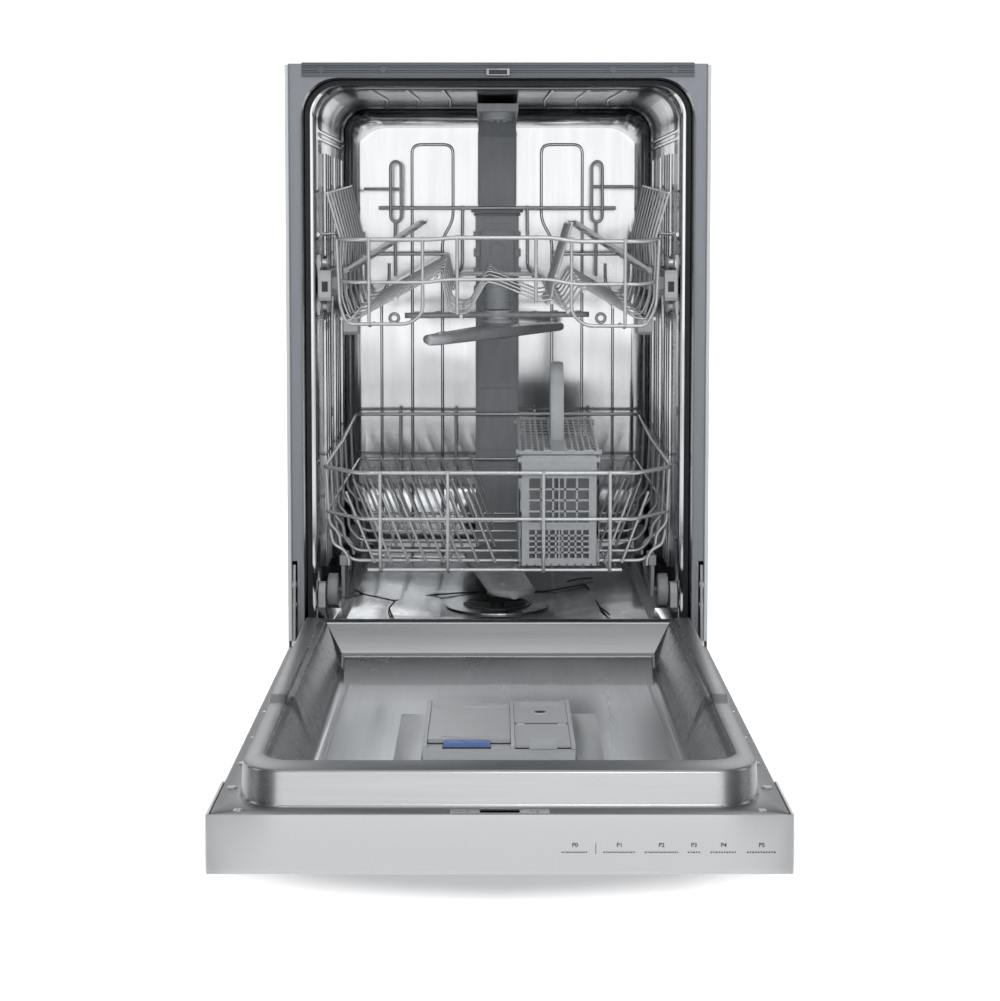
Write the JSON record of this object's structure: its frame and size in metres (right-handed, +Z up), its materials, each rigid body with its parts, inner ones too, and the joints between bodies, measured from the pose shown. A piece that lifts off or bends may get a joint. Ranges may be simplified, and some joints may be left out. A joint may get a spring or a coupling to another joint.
{
  "type": "built-in dishwasher",
  "caption": "Slim built-in dishwasher with a drop-down door, two sliding wire racks, spray arms, a cutlery basket, a dispenser and a filter, shown open.",
  "frame": {"origin": "on the floor, under the middle of the box round the machine with its door open flat", "axes": "+Z up, +Y from the door's end towards the machine's back, +X to the right of someone facing the machine"},
  "size_m": [0.448, 1.14, 0.82],
  "materials": {
    "polished_steel": "polished stainless steel",
    "satin_steel": "satin stainless steel",
    "silver_panel": "silver lacquered steel",
    "post_paint": "grey painted steel",
    "crossbar_paint": "dark grey painted steel",
    "side_paint": "light grey painted steel",
    "zinc_steel": "zinc plated steel",
    "black_rubber": "matt rubber",
    "felt": "bitumen backed felt",
    "black_plastic": "moulded plastic",
    "white_plastic": "moulded plastic",
    "duct_plastic": "moulded polypropylene",
    "arm_plastic": "moulded polypropylene",
    "cap_plastic": "moulded plastic",
    "coated_wire": "grey nylon coated steel wire",
    "basket_plastic": "moulded polypropylene",
    "dispenser_plastic": "moulded plastic",
    "latch_blue": "moulded plastic",
    "board_green": "lacquered circuit board"
  },
  "bodies": {
    "cabinet": {"tub_shell": "polished_steel", "tub_floor": "polished_steel", "filter_plate": "satin_steel", "sump_housing": "black_plastic", "lower_arm_pedestal": "duct_plastic", "door_gasket": "black_rubber", "bottom_seal": "black_rubber", "front_frame": "post_paint", "top_crossbar": "crossbar_paint", "door_strike": "zinc_steel", "side_panel_left": "side_paint", "side_panel_right": "side_paint", "rear_panel": "zinc_steel", "insulation_blanket": "felt", "base_frame": "black_plastic", "kick_plate": "silver_panel", "levelling_foot_front_left": "black_plastic", "levelling_foot_front_right": "black_plastic", "levelling_foot_rear_left": "black_plastic", "levelling_foot_rear_right": "black_plastic", "circulation_pump": "zinc_steel", "drain_pump": "black_plastic", "inlet_valve": "white_plastic", "rear_water_duct": "duct_plastic", "duct_docking_port": "black_plastic", "roller_bracket_left": "zinc_steel", "roller_bracket_right": "zinc_steel", "lower_guide_left": "cap_plastic", "lower_guide_right": "cap_plastic", "hinge_bracket_left": "zinc_steel", "hinge_bracket_right": "zinc_steel", "door_spring_left": "zinc_steel", "door_spring_right": "zinc_steel"},
    "filter": {"filter_cylinder": "duct_plastic"},
    "lower_arm": {"lower_spray_arm": "arm_plastic"},
    "lower_rack": {"lower_rack_basket": "coated_wire", "cutlery_basket": "basket_plastic", "cutlery_lid": "basket_plastic"},
    "wheel_front_left": {"rack_wheel_front_left": "cap_plastic"},
    "wheel_front_right": {"rack_wheel_front_right": "cap_plastic"},
    "wheel_rear_left": {"rack_wheel_rear_left": "cap_plastic"},
    "wheel_rear_right": {"rack_wheel_rear_right": "cap_plastic"},
    "upper_rack": {"upper_rack_basket": "coated_wire", "feed_pipe": "duct_plastic", "upper_rail_left": "zinc_steel", "upper_rail_right": "zinc_steel"},
    "upper_arm": {"upper_spray_arm": "arm_plastic"},
    "left_shelf": {"cup_shelf_left": "coated_wire"},
    "right_shelf": {"cup_shelf_right": "coated_wire"},
    "door": {"door_outer_panel": "silver_panel", "door_inner_liner": "satin_steel", "control_panel": "silver_panel", "control_board": "board_green", "door_latch": "black_plastic", "hinge_arm_left": "zinc_steel", "hinge_arm_right": "zinc_steel", "dispenser_body": "dispenser_plastic"},
    "dispenser_lid": {"detergent_lid": "dispenser_plastic"},
    "dispenser_button": {"detergent_latch": "latch_blue"},
    "rinse_flap": {"rinse_aid_flap": "dispenser_plastic"}
  },
  "joints": [
    {"name": "door_hinge", "type": "hinge", "parent": "cabinet", "child": "door", "pos_m": [0, 0.042, 0.2045], "axis": [1, 0, 0], "range_deg": [-90, 0]},
    {"name": "lower_rack_slide", "type": "slide", "parent": "cabinet", "child": "lower_rack", "axis": [0, -1, 0], "range_m": [0, 0.34]},
    {"name": "upper_rack_slide", "type": "slide", "parent": "cabinet", "child": "upper_rack", "axis": [0, -1, 0], "range_m": [0, 0.3]},
    {"name": "left_cup_shelf_fold", "type": "hinge", "parent": "upper_rack", "child": "left_shelf", "pos_m": [-0.163, 0.195, 0.602], "axis": [0, -1, 0], "range_deg": [0, 55]},
    {"name": "right_cup_shelf_fold", "type": "hinge", "parent": "upper_rack", "child": "right_shelf", "pos_m": [0.163, 0.195, 0.602], "axis": [0, 1, 0], "range_deg": [0, 55]},
    {"name": "upper_spray_spin", "type": "hinge", "parent": "upper_rack", "child": "upper_arm", "pos_m": [0, 0.308, 0.526], "axis": [0, 0, 1], "continuous": true},
    {"name": "lower_spray_spin", "type": "hinge", "parent": "cabinet", "child": "lower_arm", "pos_m": [0, 0.347, 0.232], "axis": [0, 0, 1], "continuous": true},
    {"name": "filter_twist", "type": "hinge", "parent": "cabinet", "child": "filter", "pos_m": [0, 0.272, 0.203], "axis": [0, 0, 1], "range_deg": [0, 60]},
    {"name": "detergent_lid_slide", "type": "slide", "parent": "door", "child": "dispenser_lid", "axis": [0, 1, 0], "range_m": [0, 0.045]},
    {"name": "detergent_latch_press", "type": "slide", "parent": "door", "child": "dispenser_button", "axis": [0, 0, -1], "range_m": [0, 0.002], "stiffness_N_per_m": 400, "springref_m": -0.001},
    {"name": "rinse_aid_flap_hinge", "type": "hinge", "parent": "door", "child": "rinse_flap", "pos_m": [0.038, -0.29, 0.2035], "axis": [-1, 0, 0], "range_deg": [0, 85]},
    {"name": "wheel_front_left_roll", "type": "hinge", "parent": "lower_rack", "child": "wheel_front_left", "pos_m": [-0.179, 0.1, 0.2541], "axis": [1, 0, 0], "range_deg": [-30, 1150]},
    {"name": "wheel_front_right_roll", "type": "hinge", "parent": "lower_rack", "child": "wheel_front_right", "pos_m": [0.179, 0.1, 0.2541], "axis": [1, 0, 0], "range_deg": [-30, 1150]},
    {"name": "wheel_rear_left_roll", "type": "hinge", "parent": "lower_rack", "child": "wheel_rear_left", "pos_m": [-0.179, 0.45, 0.2541], "axis": [1, 0, 0], "range_deg": [-30, 1150]},
    {"name": "wheel_rear_right_roll", "type": "hinge", "parent": "lower_rack", "child": "wheel_rear_right", "pos_m": [0.179, 0.45, 0.2541], "axis": [1, 0, 0], "range_deg": [-30, 1150]}
  ],
  "couplings": [
    {"joint": "wheel_front_left_roll", "follows": "lower_rack_slide", "rad_per_m": 57.14},
    {"joint": "wheel_front_right_roll", "follows": "lower_rack_slide", "rad_per_m": 57.14},
    {"joint": "wheel_rear_left_roll", "follows": "lower_rack_slide", "rad_per_m": 57.14},
    {"joint": "wheel_rear_right_roll", "follows": "lower_rack_slide", "rad_per_m": 57.14}
  ]
}
